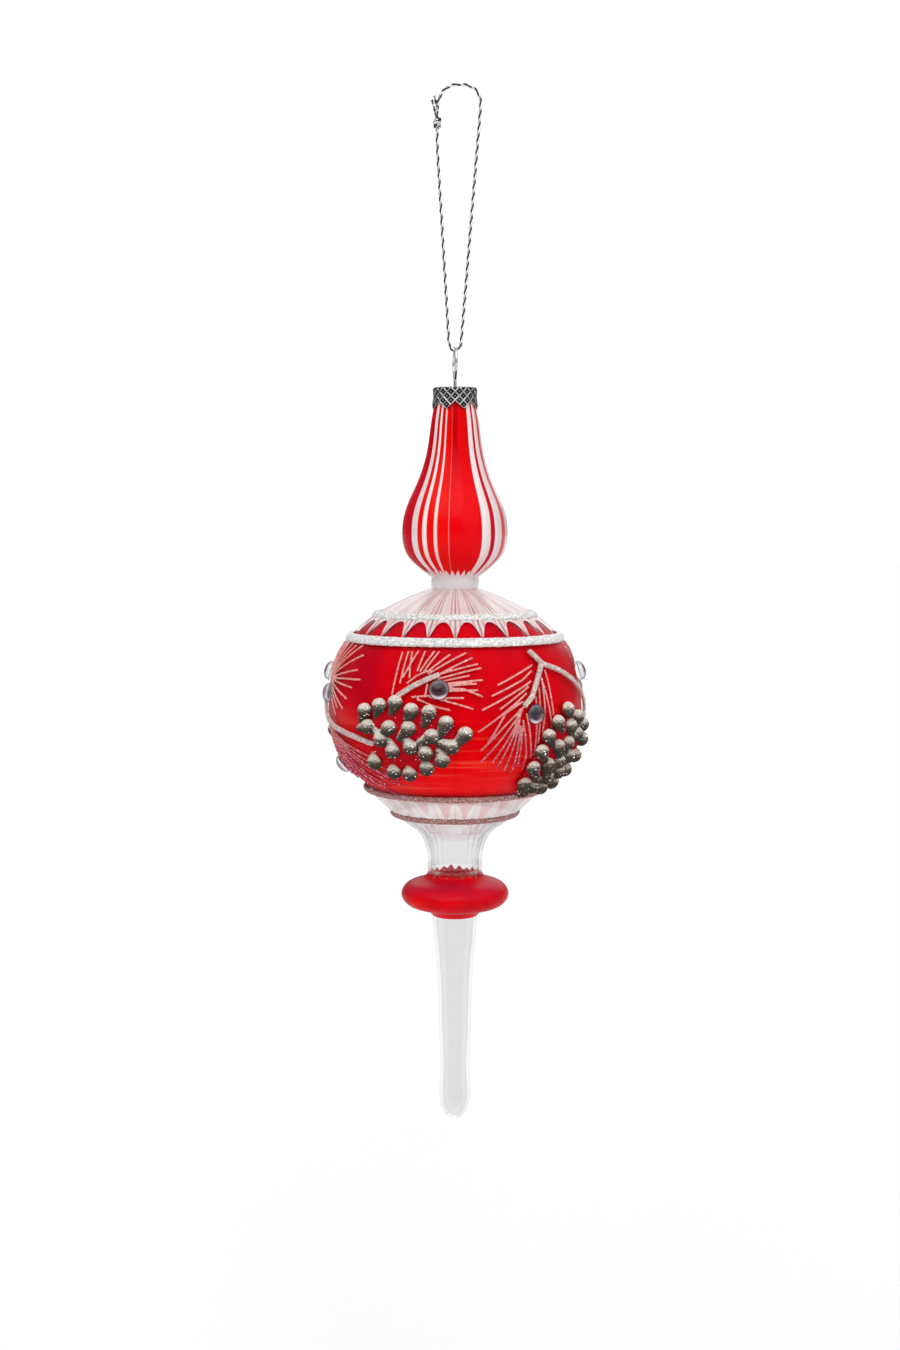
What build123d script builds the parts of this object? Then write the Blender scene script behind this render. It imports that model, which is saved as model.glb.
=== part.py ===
from build123d import *
import math
import os

# Hanging glass ornament: a blown teardrop, a ribbed ball, a small disc and a long
# icicle drop, under a crimped cap, a sprung wire hanger and a loop of metallic cord.
# Millimetres, +Z up. The origin is the hanging point, inside the top of the cord loop.
# Heights are negative, measured down from that point. The front of the object is -Y.
# An azimuth is measured round the Z axis from the front, positive to the right (+X).

# ---------------------------------------------------------------- driving dimensions
# Cord loop
cord_diameter = 1.0
loop_bottom = -81.2          # centre line of the cord, where it carries the eye
loop_top = cord_diameter / 2
loop_left = -5.9
loop_right = 8.5
loop_foot = 1.7              # half the distance between the strands at the eye
knot_x = -5.6
knot_height = -11.3
knot_radius = 1.35
knot_length = 3.4
tail_length = 6.5
tail_diameter = 0.9
tail_side = 0.85             # each tail leaves the knot this far in front or behind

# Wire hanger
wire_diameter = 0.8
wire_gap = 0.1               # between the cord and the wire that rests on it
eye_radius = 4.8             # centre line
leg_gap = 0.9                # half the distance between the legs in the cap
leg_spread = 4.6             # half the distance between the feet
leg_foot = -119.5
eye_yaw = 5.0

# Crown cap
cap_top = -93.1
cap_sheet = 0.35
cap_radius = 6.9
cap_edge = 0.5               # bevel round the lid
cap_hem = -96.6              # where the skirt starts to flare
cap_teeth_end = -99.6
cap_flare = 0.55
cap_tooth_count = 8
cap_tooth_depth = 2.2
cap_tooth_tip = 0.6          # width of a tooth's blunt tip
cap_hole_radius = 1.75

# Glass. The heights are those of the joints between the fused sections.
wall = 1.0
rim_top = -93.6
collar_top = -152.6
ball_top = -156.0
ball_equator = -191.8
lower_neck_top = -233.2
disc_top = -246.2
disc_bottom = -261.4
icicle_tip = -328.9
collar_radius = 7.4
lower_neck_top_radius = 12.6
disc_top_radius = 8.9
icicle_top_radius = 7.2

# Decoration on the ball
film = 0.45                  # height of the needles and of the film under a cone
needle_width = 0.62
twig_height = 0.9
twig_width = 1.6
drop_radius = 2.1
drop_foot = -20              # latitude at which a drop is cut off flat, to stand on the glass
drop_gap = 0.03              # between the glass and the middle of a drop's flat foot
cone_film = (14.0, 9.6)      # half-length and half-width of the film under the drops
cabochon_radius = 3.05
cabochon_height = 2.2
girdle_height = 0.3          # straight rim of a dome, above the glass
girdle_depth = 0.6           # how far its blank reaches into the ball before it is cut
dome_shoulder = (0.72, 0.75) # shares of the dome's radius and height
needle_unevenness = 0.07     # share of a needle's length
needle_wander = 2.0          # degrees
reach = 12.0                 # how far a flat outline is pushed through the glass
outside = 100.0              # a radius that is clear of the ball

# Rings of glitter paste: height from the ball's equator, half-width, height of the bead
glitter_beads = {
    "white_glitter_ring_upper": (27.7, 1.35, 0.8),
    "white_glitter_ring_lower": (20.6, 1.6, 0.9),
    "mauve_glitter_ring_upper": (-27.9, 1.2, 0.8),
    "mauve_glitter_ring_lower": (-36.0, 1.2, 0.8),
}

# Places on the ball: azimuth, height from the equator, and a cone's heading on the glass
cabochon_places = [(-73.5, 3.5), (-7, 7.0), (35.8, -0.9), (90, 9.5)]
lone_cabochon = (-93, -20.5)
cone_places = [(-21, -8.5, 0), (62, -13, 221)]

# Each cone in its own axes: u runs from the butt to the tip, v across it. First the middle of
# its film, then the drops of paste.
cone_layouts = [
    ((1.2, 0.6), [
        (-13.5, 8.1), (-8.3, 10.0), (-3.0, 11.2), (2.1, 9.2), (7.4, 8.7), (12.3, 5.5), (17.4, 2.0),
        (-12.3, 3.6), (-5.0, 3.9), (1.3, 4.0), (8.1, 1.8), (13.6, -1.5),
        (-7.9, 0.2), (-4.2, -3.1), (1.6, -1.6), (6.0, -3.4), (10.6, -5.5),
        (-11.0, -7.2), (-4.9, -9.8), (0.1, -10.1), (5.7, -8.1),
    ]),
    ((4.8, -2.4), [
        (-3.8, -13.0), (2.3, -13.5), (7.6, -12.7), (11.8, -10.1), (15.7, -6.4), (18.6, -1.3),
        (-1.9, -8.2), (1.6, -4.5), (5.8, -7.0), (11.0, -3.9), (15.6, 2.9),
        (-3.6, -3.2), (2.2, 0.8), (6.7, -1.3), (6.4, 4.4), (10.9, 2.6),
        (-1.8, 5.0), (2.6, 7.5), (7.6, 9.1), (12.2, 7.2),
        (-6.7, -7.2), (-8.4, -2.2), (-6.6, 2.6),
    ]),
]

os.makedirs("parts", exist_ok=True)


def save(builder, label):
    """Label a finished piece and write it to its own STEP file."""
    builder.part.label = label
    export_step(builder.part, "parts/" + label + ".step")


def facing(azimuth):
    """The upright plane through the axis whose normal points outwards at an azimuth."""
    angle = math.radians(azimuth)
    across = (math.cos(angle), math.sin(angle), 0)
    outwards = (math.sin(angle), -math.cos(angle), 0)
    return Plane(origin=(0, 0, 0), x_dir=across, z_dir=outwards)


# ---------------------------------------------------------------- profiles of revolution
def moved_along_normals(points, distance):
    """The same profile points, each moved out along the local normal by distance."""
    moved = []
    last = len(points) - 1
    for i, (r, z) in enumerate(points):
        before = points[max(i - 1, 0)]
        after = points[min(i + 1, last)]
        dr = after[0] - before[0]
        dz = after[1] - before[1]
        size = math.hypot(dr, dz)
        shift_r = -dz / size * distance
        shift_z = dr / size * distance
        if i in (0, last):
            shift_r = distance
            shift_z = 0
        moved.append((r + shift_r, z + shift_z))
    return moved


def shell_of(outer, thickness):
    """A hollow of revolution: outer runs from top to bottom, and both ends are open."""
    inner = moved_along_normals(outer, -thickness)
    with BuildPart() as shell:
        with BuildSketch(Plane.XZ):
            with BuildLine():
                Spline(*outer)
                Line(outer[-1], inner[-1])
                Spline(*reversed(inner))
                Line(inner[0], outer[0])
            make_face()
        revolve(axis=Axis.Z)
    return shell


def solid_of(outer):
    """The same profile filled to the axis."""
    with BuildPart() as filled:
        with BuildSketch(Plane.XZ):
            with BuildLine():
                Spline(*outer)
                Polyline(outer[-1], (0, outer[-1][1]), (0, outer[0][1]), outer[0])
            make_face()
        revolve(axis=Axis.Z)
    return filled.part


# ---------------------------------------------------------------- cord loop
def cord_arc(before, corner, after):
    """Arc radius at a corner: 0.45 of the shorter run over the tangent of half the turn."""
    run_in = Vector(*corner) - Vector(*before)
    run_out = Vector(*after) - Vector(*corner)
    turn = math.radians(run_in.get_angle(run_out))
    return 0.45 * min(run_in.length, run_out.length) / math.tan(turn / 2)


knot_bottom = knot_height - knot_length / 2
knot_top = knot_height + knot_length / 2

cord_route = [
    (knot_x, 0, knot_bottom),
    (knot_x, 0, -18.0),
    (-loop_foot - 0.1, 0, loop_bottom),
    (loop_foot, 0, loop_bottom),
    (loop_right, 0, loop_top),
    (loop_left, 0, loop_top),
    (knot_x, 0, knot_top),
]
cord_radii = [cord_arc(*cord_route[i - 1:i + 2]) for i in range(1, len(cord_route) - 1)]
print("cord arc radii, mm:", [round(radius, 2) for radius in cord_radii])

with BuildPart() as hanging_cord:
    with BuildLine() as cord_path:
        FilletPolyline(*cord_route, radius=cord_radii)
    with BuildSketch(Plane(origin=cord_path.wire() @ 0, z_dir=cord_path.wire() % 0)):
        Circle(cord_diameter / 2)
    sweep()
save(hanging_cord, "hanging_cord")
cord_length = cord_path.wire().length
cord_section = math.pi * (cord_diameter / 2) ** 2
print("cord length, mm:", round(cord_length, 1))
print("cord volume over section times length:", hanging_cord.part.volume / (cord_section * cord_length))

# The knot is a short barrel round both ends of the cord, with the two tails above it.
tail_leans = [Vector(-0.10, -0.20, 1), Vector(-0.22, 0.24, 1)]
with BuildPart() as cord_knot:
    with BuildSketch(Plane.XZ):
        with BuildLine():
            Polyline((0, knot_bottom), (cord_diameter / 2, knot_bottom))
            Spline(
                (cord_diameter / 2, knot_bottom),
                (knot_radius, knot_height),
                (cord_diameter / 2, knot_top),
            )
            Polyline((cord_diameter / 2, knot_top), (0, knot_top), (0, knot_bottom))
        make_face()
    revolve(axis=Axis.Z)
    for lean in tail_leans:
        side = math.copysign(tail_side, lean.Y)
        with BuildSketch(Plane(origin=(0, side, knot_height), z_dir=lean)):
            Circle(tail_diameter / 2)
        extrude(amount=tail_length + knot_length / 2)
cord_knot.part = cord_knot.part.moved(Location((knot_x, 0, 0)))
save(cord_knot, "cord_knot")

# ---------------------------------------------------------------- wire hanger
eye_top = loop_bottom + cord_diameter / 2 + wire_gap + wire_diameter / 2
eye_centre = eye_top - eye_radius
octagon = eye_radius * math.tan(math.radians(22.5))
waist_half = leg_gap + 0.1
half_hanger = [
    (leg_spread, leg_foot),
    (leg_gap, cap_top - 0.3),
    (waist_half, eye_centre - 1.08 * eye_radius),
    (eye_radius, eye_centre - octagon),
    (eye_radius, eye_centre + octagon),
    (octagon, eye_centre + eye_radius),
]
half_radii = [6.0, 1.2, 3.9, 0.98 * eye_radius, 0.98 * eye_radius]
hanger_route = [(0, y, z) for y, z in half_hanger]
hanger_route += [(0, -y, z) for y, z in reversed(half_hanger)]
hanger_radii = half_radii + half_radii[::-1]

with BuildPart() as hanger_wire:
    with BuildLine() as hanger_path:
        FilletPolyline(*hanger_route, radius=hanger_radii)
    with BuildSketch(Plane(origin=hanger_path.wire() @ 0, z_dir=hanger_path.wire() % 0)):
        Circle(wire_diameter / 2)
    sweep()
hanger_wire.part = hanger_wire.part.rotate(Axis.Z, eye_yaw)
save(hanger_wire, "hanger_wire")

# ---------------------------------------------------------------- crown cap
cap_inner = cap_radius - cap_sheet
with BuildPart() as crown_cap:
    with BuildSketch(Plane.XZ):
        with BuildLine():
            Polyline(
                (cap_hole_radius, cap_top),
                (cap_radius - cap_edge, cap_top),
                (cap_radius, cap_top - cap_edge),
                (cap_radius, cap_hem),
                (cap_radius + cap_flare, cap_teeth_end),
                (cap_inner + cap_flare, cap_teeth_end),
                (cap_inner, cap_hem),
                (cap_inner, cap_top - cap_sheet),
                (cap_hole_radius, cap_top - cap_sheet),
                (cap_hole_radius, cap_top),
            )
        make_face()
    revolve(axis=Axis.Z)
    notch_half = math.pi * (cap_radius + cap_flare) / cap_tooth_count - cap_tooth_tip / 2
    for tooth in range(cap_tooth_count):
        with BuildSketch(facing(360 / cap_tooth_count * tooth)):
            with BuildLine():
                Polyline(
                    (-notch_half, cap_teeth_end - 0.1),
                    (0, cap_teeth_end + cap_tooth_depth),
                    (notch_half, cap_teeth_end - 0.1),
                    close=True,
                )
            make_face()
        extrude(amount=cap_radius + 2 * cap_flare, mode=Mode.SUBTRACT)
save(crown_cap, "crown_cap")

# ---------------------------------------------------------------- blown glass
teardrop_profile = [
    (6.35, rim_top),
    (6.4, -96.6),
    (7.3, -102.0),
    (8.7, -111.7),
    (12.2, -123.0),
    (15.6, -130.8),
    (16.85, -138.4),
    (15.3, -145.3),
    (11.4, -149.4),
    (collar_radius, collar_top),
]
collar_profile = [
    (collar_radius, collar_top),
    (collar_radius + 0.2, (collar_top + ball_top) / 2),
    (collar_radius, ball_top),
]
ball_profile = [
    (collar_radius, ball_top),
    (20.3, ball_equator + 30.4),
    (33.2, ball_equator + 21.0),
    (41.3, ball_equator),
    (37.9, ball_equator - 17.4),
    (28.3, ball_equator - 27.9),
    (18.6, ball_equator - 37.0),
    (lower_neck_top_radius, lower_neck_top),
]
lower_neck_profile = [
    (lower_neck_top_radius, lower_neck_top),
    (10.1, -236.8),
    (8.9, -241.0),
    (disc_top_radius, disc_top),
]
disc_profile = [
    (disc_top_radius, disc_top),
    (9.3, -248.4),
    (12.0, -249.8),
    (15.4, -251.1),
    (17.3, -254.3),
    (15.4, -257.5),
    (12.0, -258.7),
    (9.3, -259.3),
    (8.3, -260.2),
    (icicle_top_radius, disc_bottom),
]
icicle_profile = [
    (icicle_top_radius, disc_bottom),
    (6.5, -270.0),
    (5.6, -282.0),
    (5.1, -300.0),
    (4.8, -316.0),
    (4.4, -324.5),
    (0, icicle_tip),
]

teardrop_glass = shell_of(teardrop_profile, wall)
save(teardrop_glass, "teardrop_glass")
collar_glass = shell_of(collar_profile, wall)
save(collar_glass, "collar_glass")
ball_glass = shell_of(ball_profile, wall)
save(ball_glass, "ball_glass")
lower_neck_glass = shell_of(lower_neck_profile, wall)
save(lower_neck_glass, "lower_neck_glass")
disc_glass = shell_of(disc_profile, wall)
save(disc_glass, "disc_glass")

# The icicle is a hollow tube, sealed and rounded at its tip.
icicle_bore = [(r - wall, z) for r, z in icicle_profile[:-1]] + [(0, icicle_tip + 1.6 * wall)]
with BuildPart() as icicle_glass:
    for profile, fill in ((icicle_profile, Mode.ADD), (icicle_bore, Mode.SUBTRACT)):
        with BuildSketch(Plane.XZ):
            with BuildLine():
                Spline(*profile, tangents=((-0.06, -1), (-1, 0)))
                Polyline(profile[-1], (0, disc_bottom), profile[0])
            make_face()
        revolve(axis=Axis.Z, mode=fill)
save(icicle_glass, "icicle_glass")

# ---------------------------------------------------------------- places on the ball
ball_form = solid_of(ball_profile)
needle_layer = solid_of(moved_along_normals(ball_profile, film)) - ball_form
twig_layer = solid_of(moved_along_normals(ball_profile, twig_height)) - ball_form

ball_face = ball_form.faces().sort_by(SortBy.AREA)[-1]


def on_glass(start, direction):
    """Where a straight line first meets the outside of the ball, and the normal there."""
    hits = ball_face.find_intersection_points(Axis(start, direction))
    hits = sorted(hits, key=lambda hit: (hit[0] - start).dot(direction))
    point, normal = hits[0]
    if normal.dot(direction) > 0:
        normal = -normal
    return point, normal


def glass_plane(azimuth, rise):
    """The plane that touches the ball at an azimuth and a height above its equator."""
    angle = math.radians(azimuth)
    outwards = Vector(math.sin(angle), -math.cos(angle), 0)
    start = outwards * outside + Vector(0, 0, ball_equator + rise)
    point, normal = on_glass(start, -outwards)
    across = Vector(math.cos(angle), math.sin(angle), 0)
    return Plane(origin=point, x_dir=across, z_dir=normal)


# ---------------------------------------------------------------- glitter rings
def glitter_ring(rise, half_width, height):
    """A low bead of glitter paste laid round the ball at a height above its equator."""
    plane = glass_plane(0, rise)
    tilt = math.degrees(math.atan2(plane.z_dir.Z, -plane.z_dir.Y))
    with BuildPart() as ring:
        with BuildSketch(Plane.XZ):
            with Locations((-plane.origin.Y, plane.origin.Z)):
                Ellipse(height, half_width, rotation=tilt)
        revolve(axis=Axis.Z)
        add(ball_form, mode=Mode.SUBTRACT)
    return ring.part


glitter_rings = {label: glitter_ring(*bead) for label, bead in glitter_beads.items()}


# ---------------------------------------------------------------- raised decoration
def cabochon(azimuth, rise):
    """A clear dome with a small girdle, seated on the ball."""
    plane = glass_plane(azimuth, rise)
    side = Plane(origin=plane.origin, x_dir=plane.x_dir, z_dir=-plane.y_dir)
    with BuildPart() as dome:
        with BuildSketch(side):
            with BuildLine():
                Line((0, -girdle_depth), (cabochon_radius, -girdle_depth))
                Line((cabochon_radius, -girdle_depth), (cabochon_radius, girdle_height))
                Spline(
                    (cabochon_radius, girdle_height),
                    (dome_shoulder[0] * cabochon_radius, dome_shoulder[1] * cabochon_height),
                    (0, cabochon_height),
                    tangents=((-0.1, 1), (-1, 0)),
                )
                Line((0, cabochon_height), (0, -girdle_depth))
            make_face()
        revolve(axis=Axis(plane.origin, plane.z_dir))
        add(ball_form, mode=Mode.SUBTRACT)
    return dome.part


def pine_cone(azimuth, rise, heading, middle, places):
    """Round drops of paste over a thin film, pointing at a heading on the glass."""
    plane = glass_plane(azimuth, rise)
    film_centre = Vector(*middle, 0).rotate(Axis.Z, heading)
    with BuildPart() as base:
        with BuildSketch(plane):
            with Locations((film_centre.X, film_centre.Y)):
                Ellipse(*cone_film, rotation=heading)
        extrude(amount=reach, both=True)
        add(needle_layer, mode=Mode.INTERSECT)
    drops = []
    for u, v in places:
        spot = plane.from_local_coords(Vector(u, v, reach).rotate(Axis.Z, heading))
        point, normal = on_glass(spot, -plane.z_dir)
        centre = drop_gap - drop_radius * math.sin(math.radians(drop_foot))
        with BuildPart(Plane(origin=point + normal * centre, z_dir=normal)) as drop:
            Sphere(drop_radius, arc_size1=drop_foot, align=(Align.CENTER, Align.CENTER, Align.NONE))
        drops.append(drop.part)
    return Part([base.part] + drops)


def raised_lines(strokes, width, layer):
    """Strokes drawn in glass planes, pushed on to the ball, a constant height above it."""
    with BuildPart() as lines:
        for plane, points in strokes:
            with BuildSketch(plane):
                with BuildLine():
                    Polyline(*points)
                trace(line_width=width)
            extrude(amount=reach, both=True)
        add(layer, mode=Mode.INTERSECT)
    return lines.part


def needle_fan(plane, roots, headings, count, lengths):
    """Needles from roots spaced between two points, their headings spread between two.

    lengths is (shortest, extra at the peak, heading of the peak, its spread).
    """
    shortest, extra, peak, spread = lengths
    strokes = []
    for k in range(count):
        share = k / max(count - 1, 1)
        heading = headings[0] + (headings[1] - headings[0]) * share
        root_x = roots[0][0] + (roots[1][0] - roots[0][0]) * share
        root_y = roots[0][1] + (roots[1][1] - roots[0][1]) * share
        uneven = 1 + needle_unevenness * math.sin(2.4 * k)
        length = (shortest + extra * math.exp(-((heading - peak) / spread) ** 2)) * uneven
        along = math.radians(heading + needle_wander * math.sin(1.7 * k))
        tip = (root_x + length * math.cos(along), root_y + length * math.sin(along))
        strokes.append((plane, [(root_x, root_y), tip]))
    return strokes


def without(piece, others):
    """A raised piece, cut back where the ones laid before it already are."""
    for other in others:
        if piece.bounding_box().overlaps(other.bounding_box()):
            piece = piece - other
    return piece


# One half of the design. The other half is the same, half a turn round the ball.
left_plane = glass_plane(-62, 4)
stem_plane = glass_plane(-60, -5)
low_plane = glass_plane(-56, -15)
right_plane = glass_plane(-13, 9.5)
bough_plane = glass_plane(58, 8)
branch_plane = glass_plane(34, 7)
spray_plane = glass_plane(31, 1)

cabochons = [cabochon(*place) for place in cabochon_places]
cones = [pine_cone(*place, *layout) for place, layout in zip(cone_places, cone_layouts)]
stem_line = [(16.5, -5.2), (13, -4.4), (9, -3.4), (4.1, -2.5), (-2.3, -1.3), (-7.3, 0.3), (-10.3, 2.5), (-12, 6.5)]
twig_line = [(-8.8, -4.8), (-4.2, -1.9), (-0.8, -0.2), (1.9, 1.1), (4.2, 2.1)]
bough_line = [(-12.3, 11.2), (-9.6, 6.4), (-2.9, 3.8), (4, 0.4), (10.2, -3.5), (13.2, -7.5), (12.4, -11), (10.4, -13.2)]
branch_line = [(5.9, 7.3), (2.6, 1.9), (-0.1, -2.8), (-3, -5.4)]
twigs = [
    raised_lines([(stem_plane, stem_line)], twig_width, twig_layer),
    raised_lines([(right_plane, twig_line)], twig_width, twig_layer),
    raised_lines([(bough_plane, bough_line), (branch_plane, branch_line)], twig_width, twig_layer),
]
left_fan = needle_fan(left_plane, [(-9.7, 4.2), (-9.7, 4.2)], (125, -52), 17, (13, 6.5, 15, 45))
low_fan = needle_fan(low_plane, [(-10.5, 9.2), (-6.5, 6.6)], (-78, -22), 13, (17, 12, -42, 22))
right_needles = [
    [(-10.4, -4.2), (-8.2, 9.4)], [(-8.0, -0.8), (-6.3, 9.5)], [(-7.2, 1.0), (-3.1, 9.6)],
    [(-5.0, 0.8), (-5.2, 5.6), (-5.1, 9.5)], [(-2.8, 2.9), (-1.0, 9.6)], [(-1.9, 2.9), (1.8, 9.6)],
    [(-0.7, 2.9), (3.3, 9.5)], [(0.2, 2.7), (6.7, 8.7)], [(0.6, 2.1), (11.3, 9.6)], [(3.6, 1.9), (13.2, 8.1)],
    [(4.2, 2.2), (15.0, 6.3)], [(3.6, 0.6), (16.0, 5.1)], [(2.9, -0.6), (13.0, 2.4)], [(3.1, -1.2), (16.7, 1.4)],
    [(3.6, -1.8), (15.1, 0.1)], [(3.6, -2.2), (11.2, -1.8), (17.0, -3.6)], [(4.4, -3.1), (15.6, -1.8)],
    [(2.6, -5.2), (11.7, -4.5)], [(1.4, -4.7), (14.5, -7.5)], [(-2.4, -5.4), (3.0, -7.5), (7.8, -8.4)],
    [(-4.1, -4.9), (2.6, -4.3)], [(-5.8, -0.8), (-2.8, 1.6), (0.3, 3.1)], [(0.1, -5.0), (0.7, -0.8)],
]
spray_needles = [
    [(4.3, 12.9), (-8.8, 7.4)], [(3.7, 11.3), (-0.5, 8.5), (-11.1, 4.2)], [(2.6, 8.1), (-0.5, 6.5), (-14.2, 0.2)],
    [(1.6, 6.6), (-8.8, 0.2)], [(0.6, 4.6), (-15.3, -6.3)], [(-0.9, 2.2), (-7.0, -0.9), (-12.3, -9.7)],
    [(-1.6, 0.2), (-7.4, -4.9), (-14.1, -11.9)], [(-2.2, -1.2), (-13.5, -15.4)], [(-2.2, -2.0), (-9.9, -15.6)],
    [(-2.4, -3.0), (-8.4, -17.8)], [(-2.6, -4.0), (-5.6, -18.8)], [(-2.3, -5.0), (-2.8, -19.3)],
    [(-1.6, -5.2), (-1.4, -17.5)], [(-1.3, -3.4), (0.8, -14.0), (0.8, -18.4)], [(0.0, -1.4), (2.9, -15.3)],
    [(3.7, 3.7), (3.8, -14.5)], [(5.4, 6.2), (4.7, -10.9)], [(6.9, 9.1), (7.1, 0.1), (6.2, -7.7)],
    [(9.0, 11.3), (10.7, -2.7)], [(6.9, 9.1), (10.2, -6.5)],
    [(0.3, 2.2), (-1.6, -0.3), (-3.0, -3.7), (-2.6, -6.0)],
]
sprigs = [
    raised_lines(left_fan, needle_width, needle_layer),
    raised_lines(low_fan, needle_width, needle_layer),
    raised_lines([(right_plane, line) for line in right_needles], needle_width, needle_layer),
    raised_lines([(spray_plane, line) for line in spray_needles], needle_width, needle_layer),
]


twigs = [without(piece, cabochons + cones) for piece in twigs]
laid = list(glitter_rings.values()) + cabochons + cones + twigs
for number, piece in enumerate(sprigs):
    sprigs[number] = without(piece, laid)
    laid.append(sprigs[number])


def both_sides(pieces):
    """The pieces, then the same ones half a turn round the ball."""
    return pieces + [piece.rotate(Axis.Z, 180) for piece in pieces]


# The last dome stands alone beside the cone on the far left.
cabochons = both_sides(cabochons) + [cabochon(*lone_cabochon)]
cones = [without(piece, cabochons[-1:]) for piece in both_sides(cones)]
twigs = both_sides(twigs)
sprigs = both_sides(sprigs)

decoration = dict(glitter_rings)
for kind, pieces in (("pine_cone", cones), ("twig", twigs), ("needle_sprig", sprigs), ("cabochon", cabochons)):
    for number, piece in enumerate(pieces, start=1):
        decoration[kind + "_" + str(number)] = piece
for label, piece in decoration.items():
    piece.label = label
    export_step(piece, "parts/" + label + ".step")
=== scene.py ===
import bpy
import math
import numpy as np
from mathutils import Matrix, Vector


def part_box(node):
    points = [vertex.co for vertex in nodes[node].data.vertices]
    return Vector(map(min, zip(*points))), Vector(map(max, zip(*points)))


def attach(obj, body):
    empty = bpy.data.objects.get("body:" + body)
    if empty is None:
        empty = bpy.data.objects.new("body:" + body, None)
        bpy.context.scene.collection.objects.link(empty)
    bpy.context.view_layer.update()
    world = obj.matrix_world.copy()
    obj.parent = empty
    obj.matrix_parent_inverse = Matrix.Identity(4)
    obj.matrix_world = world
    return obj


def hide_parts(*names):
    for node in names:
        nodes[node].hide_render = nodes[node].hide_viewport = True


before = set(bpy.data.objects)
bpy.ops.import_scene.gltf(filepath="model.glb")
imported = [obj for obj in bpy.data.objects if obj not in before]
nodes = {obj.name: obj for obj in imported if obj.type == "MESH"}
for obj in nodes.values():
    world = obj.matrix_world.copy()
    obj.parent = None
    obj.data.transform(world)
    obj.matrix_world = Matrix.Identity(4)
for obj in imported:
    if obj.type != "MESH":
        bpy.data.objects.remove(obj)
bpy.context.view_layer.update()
MM = 0.001
TAU = 2 * math.pi
rng = np.random.default_rng(11)

# ---------------------------------------------------------------- camera
camera = bpy.data.objects.new("camera", bpy.data.cameras.new("camera"))
bpy.context.scene.collection.objects.link(camera)
camera.data.lens = 47.07
camera.data.sensor_width = 36
camera.data.clip_start = 0.01
camera.data.clip_end = 50
camera.location = (-0.0016, -0.5621, -0.13595)
camera.rotation_euler = (math.radians(90 - 4.858), 0, 0)
bpy.context.scene.camera = camera

# The ball's widest ring, then the top of the collar and the icicle's tip, read from the frame.
equator = -0.1918
collar_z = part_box("collar_glass")[1].z
tip_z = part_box("icicle_glass")[0].z
WALL = 1.0 * MM
GLASS_IOR = 1.4
RIBS = 24  # round the ball and the lower neck
LOBES = 8  # round the teardrop
TEETH = 8  # round the cap


# ---------------------------------------------------------------- mesh helpers
def place(name, verts, faces, body, stands_for=(), materials=(), ids=None, smooth=True):
    """A new piece from vertices in the shared frame, riding on a CAD body."""
    mesh = bpy.data.meshes.new(name)
    mesh.from_pydata([tuple(v) for v in verts], [], [tuple(f) for f in faces])
    mesh.validate()
    piece = bpy.data.objects.new(name, mesh)
    bpy.context.scene.collection.objects.link(piece)
    for material in materials:
        mesh.materials.append(material)
    if ids is not None:
        mesh.polygons.foreach_set("material_index", np.asarray(ids, np.int32))
    mesh.polygons.foreach_set("use_smooth", np.full(len(mesh.polygons), smooth))
    mesh.update()
    settle(piece, body, stands_for)
    return piece


def settle(piece, body, stands_for):
    """Put a finished piece on its body and let it stand for its CAD nodes."""
    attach(piece, body)
    if stands_for:
        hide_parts(*stands_for)


def grid_faces(rows, cols, start=0, flip=False):
    """Quads of a grid of rows by cols vertices, closed round the columns."""
    i, j = np.meshgrid(np.arange(rows - 1), np.arange(cols), indexing="ij")
    k = (j + 1) % cols
    a, b, c, d = i * cols + j, (i + 1) * cols + j, (i + 1) * cols + k, i * cols + k
    quads = np.stack([a, b, c, d], -1).reshape(-1, 4) + start
    return quads[:, ::-1] if flip else quads


def ring_points(r, z, az):
    """Points at radius r and height z, azimuth from the front, positive to the right."""
    return np.stack([r * np.sin(az), -r * np.cos(az), z + 0 * az], -1)


def outline(node):
    """The outer profile (r, z) of a CAD node of revolution, from top to bottom."""
    mesh = nodes[node].data
    points = []
    for face in mesh.polygons:
        c = face.center
        size = math.hypot(c.x, c.y)
        if size > 1e-6 and (face.normal.x * c.x + face.normal.y * c.y) / size > 0.02:
            for v in face.vertices:
                p = mesh.vertices[v].co
                points.append((round(p.z, 7), math.hypot(p.x, p.y)))
    points = sorted(set(points), reverse=True)
    z = np.array([p[0] for p in points])
    r = np.array([p[1] for p in points])
    keep = np.concatenate([[True], np.diff(z) < -2e-6])
    return r[keep], z[keep]


def even_rows(r, z, count):
    """The same profile at count points, evenly spaced along its length."""
    s = np.concatenate([[0], np.cumsum(np.hypot(np.diff(r), np.diff(z)))])
    at = np.linspace(0, s[-1], count)
    return np.interp(at, s, r), np.interp(at, s, z)


def inward(r, z, thickness):
    """The profile's inner side: straight in at its ends and along its normal between."""
    dr, dz = np.gradient(r), np.gradient(z)
    size = np.hypot(dr, dz)
    nr, nz = -dz / size, dr / size
    s = np.concatenate([[0], np.cumsum(np.hypot(np.diff(r), np.diff(z)))])
    share = np.clip(np.minimum(s, s[-1] - s) / (4 * MM), 0, 1)
    nr, nz = nr * share + (1 - share), nz * share
    return r - thickness * nr, z - thickness * nz


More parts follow.
